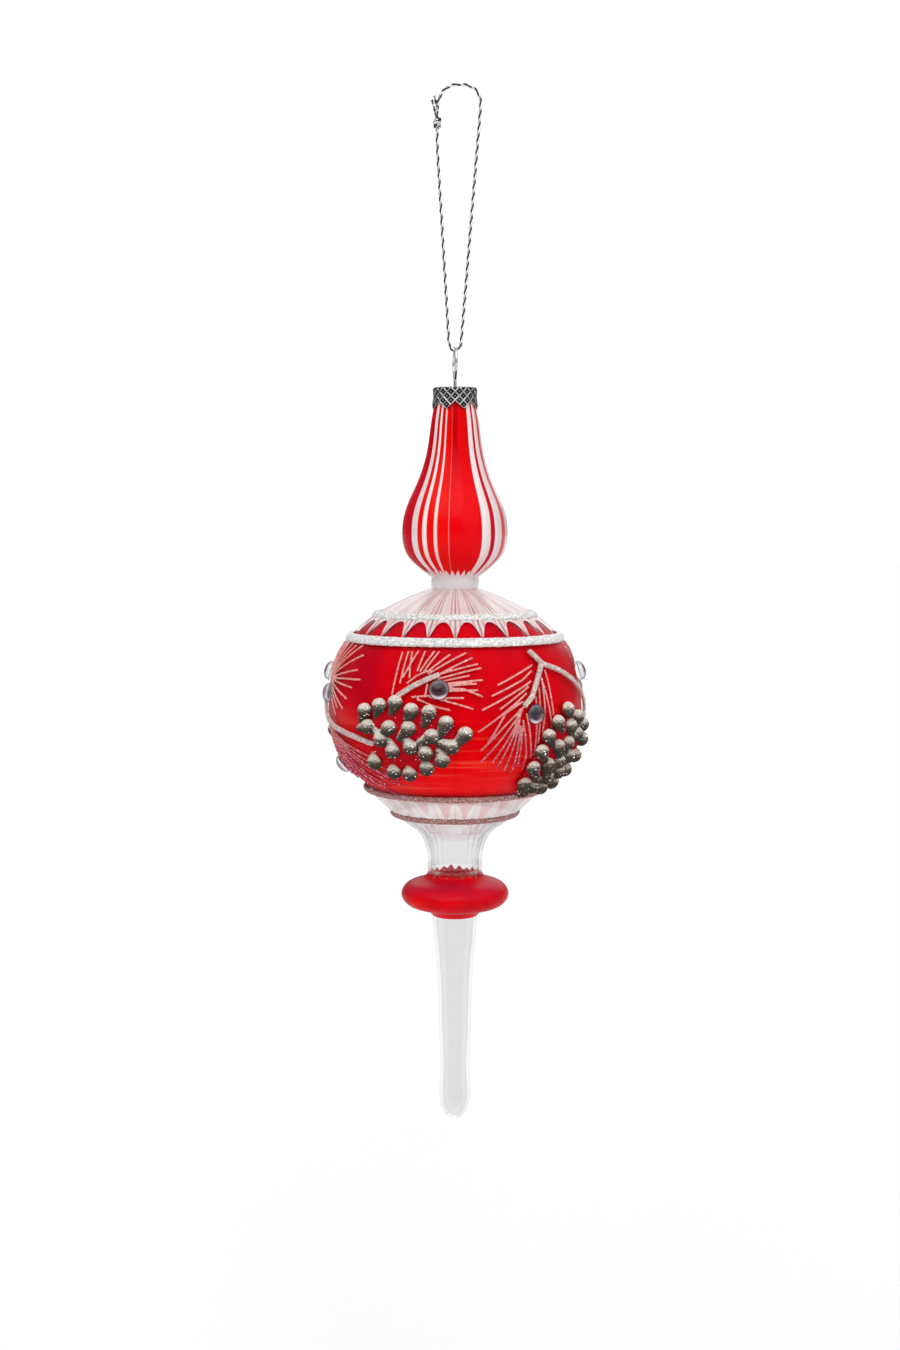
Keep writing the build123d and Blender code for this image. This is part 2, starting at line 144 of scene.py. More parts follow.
def blown(name, node, rows, cols, flute, outer, inner, closed_tip=False, rim=False):
    """A blown section: a fluted outside and inside, with the real wall between them."""
    r, z = even_rows(*outline(node), rows)
    ri, zi = inward(r, z, WALL)
    if closed_tip:
        ri = np.maximum(np.where(np.arange(rows) == rows - 1, 0, ri), 0)
        zi[-1] = z[-1] + 1.6 * MM
        zi = np.maximum(zi, zi[-1])
    az = np.linspace(0, TAU, cols, endpoint=False)
    skins = []
    for radius, height, share in ((r, z, 1.0), (ri, zi, 0.6)):
        depth = flute(az[None, :], height[:, None])
        wide = np.maximum(radius[:, None] - share * depth, 1e-5)
        skins.append(ring_points(wide, height[:, None], az[None, :]).reshape(-1, 3))
    faces = [grid_faces(rows, cols), grid_faces(rows, cols, rows * cols, flip=True)]
    if rim:
        j = np.arange(cols)
        k = (j + 1) % cols
        faces.append(np.stack([j, k, k + rows * cols, j + rows * cols], -1))
    counts = [len(f) for f in faces]
    ids = np.repeat([0, 1, 0][:len(faces)], counts)
    return place(
        name, np.concatenate(skins), np.concatenate(faces), "glass", [node],
        (outer, inner), ids,
    )


def frames_along(points):
    """Unit tangents and two normals carried along a line without twisting."""
    points = np.asarray(points, float)
    tangents = np.gradient(points, axis=0)
    tangents /= np.linalg.norm(tangents, axis=1)[:, None]
    side = np.cross(tangents[0], (0, 1, 0))
    if np.linalg.norm(side) < 0.1:
        side = np.cross(tangents[0], (1, 0, 0))
    sides = []
    for t in tangents:
        side = side - t * (side @ t)
        side = side / np.linalg.norm(side)
        sides.append(side)
    sides = np.array(sides)
    return tangents, sides, np.cross(tangents, sides)


def tube(points, radius, around=8):
    """Vertices and faces of a tube along a line; radius may vary along it."""
    points = np.asarray(points, float)
    _, u, v = frames_along(points)
    angle = np.linspace(0, TAU, around, endpoint=False)
    radius = np.broadcast_to(radius, len(points))
    verts = (
        points[:, None, :]
        + radius[:, None, None] * (
            np.cos(angle)[None, :, None] * u[:, None, :] + np.sin(angle)[None, :, None] * v[:, None, :]
        )
    ).reshape(-1, 3)
    faces = [tuple(f) for f in grid_faces(len(points), around)]
    last = len(verts) - around
    faces.append(tuple(range(around)))
    faces.append(tuple(range(last, last + around))[::-1])
    return verts, faces


def joined(parts):
    """Several (vertices, faces) as one."""
    verts, faces, start = [], [], 0
    for v, f in parts:
        verts.append(np.asarray(v, float))
        faces += [tuple(int(i) + start for i in face) for face in f]
        start += len(v)
    return np.concatenate(verts), faces


def resampled(points, step):
    """The same line at even steps."""
    points = np.asarray(points, float)
    s = np.concatenate([[0], np.cumsum(np.linalg.norm(np.diff(points, axis=0), axis=1))])
    at = np.linspace(0, s[-1], max(int(s[-1] / step), 2) + 1)
    return np.stack([np.interp(at, s, points[:, i]) for i in range(3)], -1), s[-1]


def twisted(points, pitch, strand, offset, strands=2):
    """Twisted strands along a line, each a tube of radius strand at offset from it."""
    line, length = resampled(points, pitch / 12)
    _, u, v = frames_along(line)
    turn = np.linspace(0, length, len(line)) / pitch * TAU
    parts = []
    for k in range(strands):
        phase = turn + TAU * k / strands
        path = line + offset * (np.cos(phase)[:, None] * u + np.sin(phase)[:, None] * v)
        parts.append(tube(path, strand, 7))
    return joined(parts)


# ---------------------------------------------------------------- material helpers
class Shader:
    """A material built node by node."""

    def __init__(self, name):
        self.material = bpy.data.materials.new(name)
        self.material.use_nodes = True
        self.tree = self.material.node_tree
        self.tree.nodes.clear()
        self.where = self.node("ShaderNodeTexCoord").outputs["Object"]

    def node(self, kind, inputs=None, **props):
        made = self.tree.nodes.new(kind)
        for key, value in props.items():
            setattr(made, key, value)
        for key, value in (inputs or {}).items():
            socket = made.inputs[key]
            if isinstance(value, bpy.types.NodeSocket):
                self.tree.links.new(value, socket)
            elif socket.type == "RGBA":
                socket.default_value = (*value, 1) if len(value) == 3 else value
            else:
                socket.default_value = value
        return made

    def math(self, kind, a, b=0.0, c=0.0, clamp=False):
        return self.node("ShaderNodeMath", {0: a, 1: b, 2: c}, operation=kind, use_clamp=clamp).outputs[0]

    def ramp(self, fac, stops, smooth="LINEAR"):
        """A colour ramp; stops are (position, colour or grey)."""
        made = self.node("ShaderNodeValToRGB", {0: fac})
        made.color_ramp.interpolation = smooth
        points = made.color_ramp.elements
        while len(points) > 1:
            points.remove(points[0])
        for i, (position, colour) in enumerate(stops):
            point = points[0] if i == 0 else points.new(position)
            point.position = position
            point.color = (*colour, 1) if not isinstance(colour, (int, float)) else (colour,) * 3 + (1,)
        return made.outputs[0]

    def mix(self, fac, a, b):
        return self.node("ShaderNodeMix", {0: fac, 6: a, 7: b}, data_type="RGBA").outputs[2]

    def blend(self, fac, a, b):
        return self.node("ShaderNodeMixShader", {0: fac, 1: a, 2: b}).outputs[0]

    def noise(self, scale, detail=2.0, stretch=None):
        place_at = self.where
        if stretch:
            place_at = self.node("ShaderNodeMapping", {0: place_at, 3: stretch}).outputs[0]
        inputs = {"Vector": place_at, "Scale": scale, "Detail": detail}
        return self.node("ShaderNodeTexNoise", inputs).outputs[0]

    def named(self, name):
        """A value that the mesh carries at its points."""
        return self.node("ShaderNodeAttribute", attribute_name=name).outputs["Fac"]

    def azimuth(self):
        """Azimuth from the front in turns, from -0.5 to 0.5, and the height in millimetres."""
        part = self.node("ShaderNodeSeparateXYZ", {0: self.where})
        back = self.math("MULTIPLY", part.outputs[1], -1.0)
        turns = self.math("DIVIDE", self.math("ARCTAN2", part.outputs[0], back), TAU)
        return turns, self.math("MULTIPLY", part.outputs[2], 1000.0)

    def facing(self, blend):
        return self.node("ShaderNodeLayerWeight", {0: blend}).outputs["Facing"]

    def fresnel(self, ior):
        return self.node("ShaderNodeFresnel", {0: ior}).outputs[0]

    def bump(self, height, distance, strength=1.0):
        return self.node(
            "ShaderNodeBump", {"Height": height, "Distance": distance, "Strength": strength}
        ).outputs[0]

    def clear(self, tint):
        return self.node("ShaderNodeBsdfTransparent", {0: tint}).outputs[0]

    def gloss(self, rough):
        return self.node("ShaderNodeBsdfGlossy", {"Color": (1, 1, 1), "Roughness": rough}).outputs[0]

    def sheen(self, under, most, rough):
        """The gloss of glass over another surface, held to a share of at most `most`."""
        return self.blend(self.math("MINIMUM", self.fresnel(GLASS_IOR), most), under, self.gloss(rough))

    def principled(self, **inputs):
        return self.node(
            "ShaderNodeBsdfPrincipled", {k.replace("_", " "): v for k, v in inputs.items()}
        ).outputs[0]

    def done(self, surface):
        self.node("ShaderNodeOutputMaterial", {0: surface})
        return self.material


def clear_glass(name, face, edge, power=3.0, rough=0.04, most=0.3, middle=None):
    """Thin clear glass: see-through, with painted shade where it is seen edge on, standing in for what the
    glass refracts at its rims, and a gloss.
    """
    s = Shader(name)
    painted_edge_shade = s.math("POWER", s.facing(0.5), power)
    # A middle tint, where given, is painted refraction: the colour seen through the middle of a dome.
    if middle is not None:
        out = s.named("from_centre")
        face = s.ramp(out, [(0.0, middle), (0.6, middle), (0.85, face)])
    tint = s.mix(painted_edge_shade, face, edge)
    return s.done(s.sheen(s.clear(tint), most, rough))


def glitter(name, base, flake, scale, share=0.5, rough=0.25, body=None, flaked=None):
    """Glitter in paste: every flake, one cell, tilts its own way and glints on its own."""
    s = Shader(name)
    cells = s.node("ShaderNodeTexVoronoi", {"Vector": s.where, "Scale": scale, "Randomness": 1.0})
    tilt = s.node(
        "ShaderNodeVectorMath", {0: cells.outputs["Color"], 1: (0.5, 0.5, 0.5)}, operation="SUBTRACT"
    )
    tilt = s.node("ShaderNodeVectorMath", {0: tilt.outputs[0], "Scale": 1.5}, operation="SCALE")
    flat = s.node("ShaderNodeNewGeometry").outputs["Normal"]
    normal = s.node("ShaderNodeVectorMath", {0: flat, 1: tilt.outputs[0]}, operation="ADD")
    normal = s.node("ShaderNodeVectorMath", {0: normal.outputs[0]}, operation="NORMALIZE").outputs[0]
    pick = s.node("ShaderNodeSeparateColor", {0: cells.outputs["Color"]}).outputs[0]
    speck = s.math("MULTIPLY_ADD", s.noise(1800.0, 3.0), 3.0, -1.0, clamp=True)
    shade = s.mix(speck, tuple(0.6 * c for c in base), tuple(min(1.0, 1.25 * c) for c in base))
    if body is not None:
        shade = body(s, shade)
    paste = s.principled(
        Base_Color=shade, Roughness=0.75, Specular_IOR_Level=0.06,
        Normal=s.bump(s.noise(1500.0, 2.0), 0.0003, 1.0),
    )
    flakes = s.principled(Base_Color=flake, Metallic=1.0, Roughness=rough, Normal=normal)
    share = share if flaked is None else s.math("MULTIPLY", flaked(s), share)
    return s.done(s.blend(s.math("LESS_THAN", pick, share), paste, flakes))


# ---------------------------------------------------------------- materials
def plated(name, colour, rough, bump_scale):
    s = Shader(name)
    grain = s.noise(bump_scale, 3.0)
    return s.done(s.principled(
        Base_Color=s.mix(grain, tuple(0.75 * c for c in colour), colour),
        Metallic=1.0,
        Roughness=rough,
        Normal=s.bump(grain, 0.00004, 0.6),
    ))


steel = plated("plated_steel", (0.72, 0.72, 0.74), 0.16, 900.0)
thread_light = plated("silver_thread", (0.78, 0.79, 0.82), 0.28, 2500.0)
# The dark thread is the silver thread in a dark colour: painted shade, for the parts of the twist that lie in
# shadow.
painted_shade_thread = plated("silver_thread_painted_shade", (0.06, 0.06, 0.075), 0.34, 2500.0)


def cap_metal():
    """Antiqued pressed metal: bright on the raised lattice and dark in the recesses."""
    s = Shader("pressed_metal")
    height = s.named("relief")
    tarnish = s.math("MULTIPLY_ADD", s.noise(700.0, 3.0), 0.5, -0.25)
    worn = s.math("ADD", height, tarnish, clamp=True)
    colour = s.ramp(worn, [(0.0, (0.008, 0.008, 0.01)), (0.62, (0.05, 0.048, 0.05)), (1.0, (0.5, 0.49, 0.5))])
    return s.done(s.principled(
        Base_Color=colour, Metallic=1.0, Roughness=0.22, Normal=s.bump(s.noise(2200.0, 2.0), 0.00005, 0.7)
    ))


crown_metal = cap_metal()
outer_clear = clear_glass("clear_outside", (0.99, 0.99, 0.99), (0.74, 0.75, 0.77), 5.0)
inner_grey = clear_glass("clear_inside", (0.855, 0.855, 0.86), (0.62, 0.62, 0.64), 10.0)
neck_inner = clear_glass("neck_inside", (0.88, 0.88, 0.885), (0.6, 0.6, 0.62), 4.0, most=0.1)
# The dome's tints are painted light: a near-black painted outline at its rim and a pinkish painted refraction
# in its middle.
foil_dome = clear_glass(
    "dome_glass", (0.9, 0.92, 0.94), (0.06, 0.06, 0.08), 2.0, 0.02, most=0.12, middle=(0.66, 0.34, 0.4)
)


def milky():
    """The collar's frosted, milky glass."""
    s = Shader("milky_glass")
    cloud = s.noise(160.0, 4.0, (1, 1, 0.5))
    frost = s.principled(
        Base_Color=s.mix(cloud, (0.88, 0.88, 0.89), (0.97, 0.97, 0.975)),
        Roughness=0.35, Specular_IOR_Level=0.2,
    )
    veil = s.blend(s.math("MULTIPLY_ADD", cloud, 0.3, 0.5), s.clear((0.97, 0.97, 0.975)), frost)
    return s.done(s.sheen(veil, 0.3, 0.08))


def teardrop_paint():
    """Lacquer panels on the teardrop, by azimuth, repeated half a turn round."""
    s = Shader("striped_lacquer")
    turns, height = s.azimuth()
    half = s.math("FRACT", s.math("MULTIPLY_ADD", turns, 2.0, 0.5))
    red, deep, bright = (0.9, 0.0, 0.004), (0.56, 0.0, 0.02), (0.95, 0.004, 0.0)
    pink, streak = (0.8, 0.16, 0.16), (0.85, 0.2, 0.2)
    # Degrees: what each painted span covers, and where each colour starts. The deep red span at the far left
    # is painted shade, the red darkened where the wall turns away, and the deep and pink strips right of the
    # front panel are painted refraction, the far wall's red seen through the clear glass.
    spans = [(-88, -57), (-45, -37.5), (-32, -23.5), (-20, 31), (42, 48), (60, 74)]
    starts = [(-90, deep), (-51, bright), (-8.2, streak), (-6.6, red), (36.5, deep), (54, pink)]
    edge = 0.4 / 180
    mask = []
    for start, end in spans:
        a, b = (start + 90) / 180, (end + 90) / 180
        mask += [(a - edge, 0.0), (a + edge, 1.0), (b - edge, 1.0), (b + edge, 0.0)]
    painted = s.ramp(half, mask)
    colour = s.ramp(half, [((start + 90) / 180, tint) for start, tint in starts], "CONSTANT")
    # The paint stops above the collar in uneven points.
    wave = s.math("PINGPONG", s.math("MULTIPLY", turns, 33.0), 0.5)
    end = s.math("MULTIPLY_ADD", wave, 4.0, collar_z / MM + 0.6)
    painted = s.math("MULTIPLY", painted, s.math("GREATER_THAN", height, end))
    streaks = s.noise(240.0, 3.0, (1, 1, 0.05))
    deeper = s.mix(s.math("MULTIPLY_ADD", streaks, 0.7, -0.1, clamp=True), colour, (0.66, 0.0, 0.006))
    lacquer = s.principled(
        Base_Color=deeper, Roughness=0.3, Specular_IOR_Level=0.04, Coat_Weight=0.12, Coat_Roughness=0.15,
        Normal=s.bump(streaks, 0.0004, 0.35),
    )
    glow = s.node("ShaderNodeBsdfTranslucent", {0: deeper}).outputs[0]
    see = s.clear(s.mix(0.5, colour, (0.98, 0.01, 0.01)))
    # The coat is thin in the neck, where the wire's legs show through it.
    thin = s.math("MULTIPLY_ADD", height, 1 / 40.0, 127.0 / 40.0 + 0.12, clamp=True)
    thin = s.math("MINIMUM", s.math("MAXIMUM", thin, 0.12), 0.62)
    lacquer = s.blend(thin, s.blend(0.1, lacquer, glow), see)
    # Painted shade on the clear glass where it is seen edge on.
    painted_edge_shade = s.math("POWER", s.facing(0.5), 3.0)
    glass = s.clear(s.mix(painted_edge_shade, (0.97, 0.97, 0.975), (0.75, 0.75, 0.77)))
    frost = s.principled(Base_Color=(0.97, 0.97, 0.97), Roughness=0.4, Specular_IOR_Level=0.1)
    glass = s.blend(0.62, glass, frost)
    clear = s.sheen(glass, 0.3, 0.05)
    return s.done(s.blend(painted, clear, lacquer))


def ball_paint(name, inside):
    """The ball's wall: red band, arched tongues between the white rings, clear ribs."""
    s = Shader(name)
    turns, height = s.azimuth()
    rise = s.math("SUBTRACT", height, equator / MM)
    phase = s.math("FRACT", s.math("MULTIPLY", turns, float(RIBS)))
    from_middle = s.math("ABSOLUTE", s.math("MULTIPLY_ADD", phase, 2.0, -1.0))
    bow = s.math("SUBTRACT", 1.0, s.math("POWER", from_middle, 2.6))
    arch_top = s.math("MULTIPLY_ADD", bow, 5.4, 21.0)
    below = s.math("LESS_THAN", rise, arch_top)
    above = s.math("GREATER_THAN", rise, -28.4)
    band = s.math("MULTIPLY", below, above)
    # Pale pink tongues that hang under the band between the mauve rings.
    taper = s.math("MULTIPLY_ADD", rise, 0.085, 3.15)
    uneven = s.math("MULTIPLY_ADD", s.noise(70.0, 2.0), 1.1, -0.55)
    tongue = s.math("LESS_THAN", from_middle, s.math("ADD", taper, uneven))
    # The pink lines at the rib valleys are painted refraction: the red band seen through the ribbed glass.
    painted_rib_lines = s.math("GREATER_THAN", from_middle, 0.9)
    upper = s.math("GREATER_THAN", rise, 20.6)
    pinkish = s.math("MAXIMUM", tongue, s.math("MULTIPLY", painted_rib_lines, 0.5))
    pinkish = s.math("MULTIPLY", pinkish, s.math("GREATER_THAN", rise, -35.5))
    bands = s.noise(60.0, 2.0, (1, 1, 0.08))
    brush = s.noise(90.0, 4.0, (0.25, 0.25, 9.0))
    # Painted light: the red turns brighter and purer low on the band, where light comes through it, and the
    # brush strokes show paler only there.
    low = s.math("MULTIPLY_ADD", rise, -0.035, 0.15, clamp=True)
    bands = s.math("MULTIPLY_ADD", bands, 2.4, -0.7, clamp=True)
    red = s.mix(bands, (0.52, 0.0, 0.008), (0.86, 0.0, 0.003))
    red = s.mix(low, red, (1.0, 0.0, 0.0))
    strokes = s.math("MULTIPLY_ADD", brush, 8.0, -4.2, clamp=True)
    red = s.mix(s.math("MULTIPLY", low, s.math("MULTIPLY", strokes, 0.55)), red, (1.0, 0.12, 0.06))
    # Painted shade in the rib valleys.
    valley = s.math("POWER", from_middle, 14.0)
    red = s.mix(s.math("MULTIPLY", valley, 0.3), red, (0.42, 0.0, 0.01))
    # Painted shade: the red darkens to crimson where the wall is seen edge on.
    red = s.mix(s.math("POWER", s.facing(0.5), 2.0), red, (0.4, 0.0, 0.016))
    paint = s.principled(
        Base_Color=red, Roughness=0.34, Specular_IOR_Level=0.02, Normal=s.bump(brush, 0.0003, 0.25)
    )
    glow = s.node("ShaderNodeBsdfTranslucent", {0: red}).outputs[0]
    paint = s.blend(0.05, s.blend(0.1, paint, glow), s.clear((0.95, 0.0, 0.0)))
    painted_edge_shade = s.math("POWER", s.facing(0.5), 3.0)
    face = s.mix(pinkish, (0.98, 0.98, 0.98), (0.95, 0.7, 0.7))
    # Above the band the ribbed glass gets painted refraction of the red band: pink and dark red towards the
    # rib valleys.
    painted_rib_refraction = s.ramp(from_middle, [
        (0.0, (0.97, 0.9, 0.9)), (0.4, (1.0, 1.0, 1.0)), (0.6, (0.82, 0.32, 0.33)),
        (0.72, (1.0, 1.0, 1.0)), (0.88, (0.97, 0.9, 0.9)), (0.98, (0.5, 0.12, 0.14)),
    ])
    face = s.mix(upper, face, painted_rib_refraction)
    # Painted shade where the wall is seen edge on, pinker above the band.
    glass = s.clear(s.mix(painted_edge_shade, face, s.mix(upper, (0.66, 0.66, 0.67), (0.62, 0.5, 0.52))))
    if inside:
        clear = s.sheen(glass, 0.1, 0.05)
        return s.done(s.blend(band, clear, paint))
    mottle = s.noise(420.0, 3.0)
    pale = s.mix(upper, (0.95, 0.95, 0.955), (0.97, 0.95, 0.95))
    milk = s.mix(s.math("MULTIPLY_ADD", mottle, 1.4, -0.5, clamp=True), face, pale)
    frost = s.principled(Base_Color=milk, Roughness=0.4, Specular_IOR_Level=0.1)
    bare = s.math("LESS_THAN", rise, -37.0)
    glass = s.blend(s.math("MULTIPLY_ADD", bare, -0.4, 0.55), glass, frost)
    clear = s.sheen(glass, 0.3, 0.05)
    gleam = s.math("MULTIPLY_ADD", s.fresnel(1.35), 0.3, -0.006, clamp=True)
    sheer = s.blend(s.math("MINIMUM", gleam, 0.03), s.clear((1.0, 0.99, 0.99)), s.gloss(0.12))
    return s.done(s.blend(band, clear, sheer))


def disc_paint():
    """Satin red, turning a bluer crimson in a band across the shoulders, dripping up the neck in points."""
    s = Shader("satin_red")
    turns, height = s.azimuth()
    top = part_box("disc_glass")[1].z / MM
    wave = s.math("PINGPONG", s.math("MULTIPLY", turns, 22.0), 0.5)
    drip = s.math("MULTIPLY_ADD", s.noise(420.0, 1.0), 2.4, -1.2)
    end = s.math("ADD", s.math("MULTIPLY_ADD", wave, 2.2, top - 2.0), drip)
    painted = s.math("LESS_THAN", height, end)
    clouds = s.math("MULTIPLY_ADD", s.noise(110.0, 3.0), 2.2, -0.6, clamp=True)
    red = s.mix(clouds, (0.56, 0.0, 0.01), (0.86, 0.0, 0.002))
    shoulder = s.ramp(
        s.math("MULTIPLY_ADD", height, 1 / 16.0, -(top - 16.0) / 16.0),
        [(0.0, 0.0), (0.5, 0.0), (0.72, 0.55), (0.8, 0.3), (0.88, 0.0)],
    )
    red = s.mix(shoulder, red, (0.62, 0.012, 0.05))
    # Painted shade: the red darkens where the disc is seen edge on.
    red = s.mix(s.math("MULTIPLY", s.math("POWER", s.facing(0.5), 3.0), 0.6), red, (0.3, 0.02, 0.04))
    paint = s.principled(
        Base_Color=red, Roughness=0.35, Specular_IOR_Level=0.05, Coat_Weight=0.06, Coat_Roughness=0.12
    )
    glow = s.node("ShaderNodeBsdfTranslucent", {0: red}).outputs[0]
    paint = s.blend(0.07, s.blend(0.1, paint, glow), s.clear((0.95, 0.0, 0.0)))
    clear = s.sheen(s.clear((0.95, 0.95, 0.95)), 0.3, 0.05)
    return s.done(s.blend(painted, clear, paint))


def foil():
    """Silvered back of a cabochon with its reflections painted on: dark in the middle and a painted bright
    ring towards its rim.
    """
    s = Shader("silvered_foil")
    out = s.named("from_centre")
    down = s.named("lower")
    shade = s.ramp(out, [
        (0.0, (0.03, 0.028, 0.035)), (0.7, (0.05, 0.055, 0.07)),
        (0.9, (0.2, 0.21, 0.24)), (1.0, (0.12, 0.12, 0.14)),
    ])
    # Painted highlight: a bright crescent near the rim on the lower side.
    ring = s.ramp(out, [(0.0, 0.0), (0.55, 0.0), (0.72, 1.0), (0.9, 1.0), (1.0, 0.3)])
    low = s.math("MULTIPLY", ring, s.math("MULTIPLY_ADD", down, 3.0, -1.1, clamp=True))
    shade = s.mix(low, shade, (0.95, 0.96, 1.0))
    return s.done(s.principled(Base_Color=shade, Metallic=0.2, Roughness=0.3))


def over_film(s, shade):
    """Taupe drops with painted light: pale on top and painted shade beneath, by which way each point faces,
    and red film in the windows between them.
    """
    height = s.named("height")
    # Painted light and shade from the normal: pale where the paste faces up, dark where it faces down.
    normal = s.node("ShaderNodeNewGeometry").outputs["Normal"]
    upward = s.math("MULTIPLY_ADD", s.node("ShaderNodeSeparateXYZ", {0: normal}).outputs[2], 0.5, 0.5)
    painted_light = s.ramp(upward, [
        (0.28, (0.022, 0.015, 0.012)), (0.48, (0.08, 0.06, 0.047)), (0.58, (0.28, 0.235, 0.195)),
        (0.69, (0.68, 0.62, 0.54)),
    ])
    taupe = s.mix(0.9, shade, painted_light)
    tall = s.ramp(height, [(0.0, 0.0), (0.18, 0.0), (0.34, 1.0), (1.0, 1.0)], "EASE")
    film = s.mix(s.noise(700.0, 2.0), (0.34, 0.0, 0.008), (0.62, 0.004, 0.014))
    return s.mix(tall, film, taupe)


def painted_shade_low(s, shade):
    """Needles pale and pink above, and deeper with painted shade where they run down under the ball."""
    _, height = s.azimuth()
    rise = s.math("SUBTRACT", height, equator / MM)
    share = s.math("MULTIPLY_ADD", rise, 1 / 20.0, 0.85, clamp=True)
    return s.mix(share, (0.48, 0.05, 0.1), shade)


def on_drops(s):
    """Flakes lie on the drops, and few of them on the film."""
    height = s.named("height")
    return s.ramp(height, [(0.0, 0.15), (0.3, 0.3), (0.5, 1.0)])


white_paste = glitter("white_glitter", (0.74, 0.73, 0.72), (0.85, 0.85, 0.85), 2600.0, 0.14, 0.45)
mauve_paste = glitter("mauve_glitter", (0.38, 0.19, 0.18), (0.7, 0.5, 0.48), 2800.0, 0.16, 0.4)
cone_paste = glitter(
    "taupe_glitter", (0.36, 0.3, 0.26), (0.9, 0.88, 0.84), 2800.0, 0.05, 0.2, over_film, on_drops
)
twig_paste = glitter("twig_glitter", (0.6, 0.47, 0.43), (0.85, 0.78, 0.76), 2800.0, 0.15, 0.35)
needle_paste = glitter("needle_glitter", (0.84, 0.34, 0.31), (0.9, 0.6, 0.6), 3000.0, 0.12, 0.4, painted_shade_low)
foil_back = foil()

# ---------------------------------------------------------------- cord
loop_points = [
    (-5.6, 0, -13.0), (-5.6, 0, -18.0), (-5.3, 0, -23.0), (-2.16, 0, -75.2), (-1.8, 0, -81.2),
    (1.7, 0, -81.2), (2.2, 0, -75.2), (7.3, 0, -13.9), (8.5, 0, 0.5), (-5.9, 0, 0.5), (-5.6, 0, -9.6),
]


def spline_points(name, points):
    """Points read from a NURBS curve through control points given in millimetres."""
    data = bpy.data.curves.new(name, "CURVE")
    data.dimensions = "3D"
    spline = data.splines.new("NURBS")
    spline.points.add(len(points) - 1)
    for point, co in zip(spline.points, points):
        point.co = (co[0] * MM, co[1] * MM, co[2] * MM, 1)
    spline.order_u = 3
    spline.use_endpoint_u = True
    spline.resolution_u = 24
    holder = bpy.data.objects.new(name, data)
    bpy.context.scene.collection.objects.link(holder)
    line = bpy.data.meshes.new_from_object(holder.evaluated_get(bpy.context.evaluated_depsgraph_get()))
    found = [tuple(v.co) for v in line.vertices]
    bpy.data.objects.remove(holder)
    return found


cord_line = spline_points("cord_line", loop_points)
strand_verts, strand_faces = twisted(cord_line, 3.6 * MM, 0.27 * MM, 0.24 * MM)
half_count = len(strand_faces) // 2
# One of the two strands is given the dark copy of the silver thread: painted shade.
cord_piece = place(
    "metallic_cord", strand_verts, strand_faces, "cord", ["hanging_cord"],
    (thread_light, painted_shade_thread), np.arange(len(strand_faces)) >= half_count,
)

# The knot: both ends wound in an overhand knot, and the two short tails above it.
knot_x, knot_z = -5.6, -11.3
turns_of_knot = np.linspace(0, 3.2 * TAU, 150)
wind = np.stack([
    knot_x + 0.85 * np.cos(turns_of_knot),
    0.85 * np.sin(turns_of_knot),
    knot_z - 1.3 + 2.6 * turns_of_knot / turns_of_knot[-1] + 0.12 * np.sin(1.5 * turns_of_knot),
], -1) * MM
knot_parts = [twisted(wind, 3.0 * MM, 0.27 * MM, 0.24 * MM)]
knot_parts.append(twisted(
    [(knot_x * MM, 0, (knot_z - 1.8) * MM), (knot_x * MM, 0, (knot_z + 1.8) * MM)],
    3.6 * MM, 0.27 * MM, 0.26 * MM,
))
for lean, side in (((-0.10, -0.20, 1), -0.6), ((-0.22, 0.24, 1), 0.6)):
    way = Vector(lean).normalized()
    start = Vector((knot_x, side, knot_z))
    share = np.linspace(0, 1, 24)[:, None]
    tail = np.array(start) + share * 8.0 * np.array(way)
    tail[:, 0] += 0.25 * np.sin(3 * share[:, 0])
    knot_parts.append(twisted(tail * MM, 3.2 * MM, 0.24 * MM, 0.21 * MM))
knot_verts, knot_faces = joined(knot_parts)
# The knot's faces take the dark copy in bands of sixty: painted shade along its windings.
knot_piece = place(
    "knot_of_cord", knot_verts, knot_faces, "cord", ["cord_knot"],
    (thread_light, painted_shade_thread), (np.arange(len(knot_faces)) // 60) % 2,
)

# ---------------------------------------------------------------- wire hanger
wire = nodes["hanger_wire"]
wire.data.materials.clear()
wire.data.materials.append(steel)

# ---------------------------------------------------------------- crown cap
low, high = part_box("crown_cap")
cap_r, cap_top, cap_low = 6.9 * MM, high.z, low.z


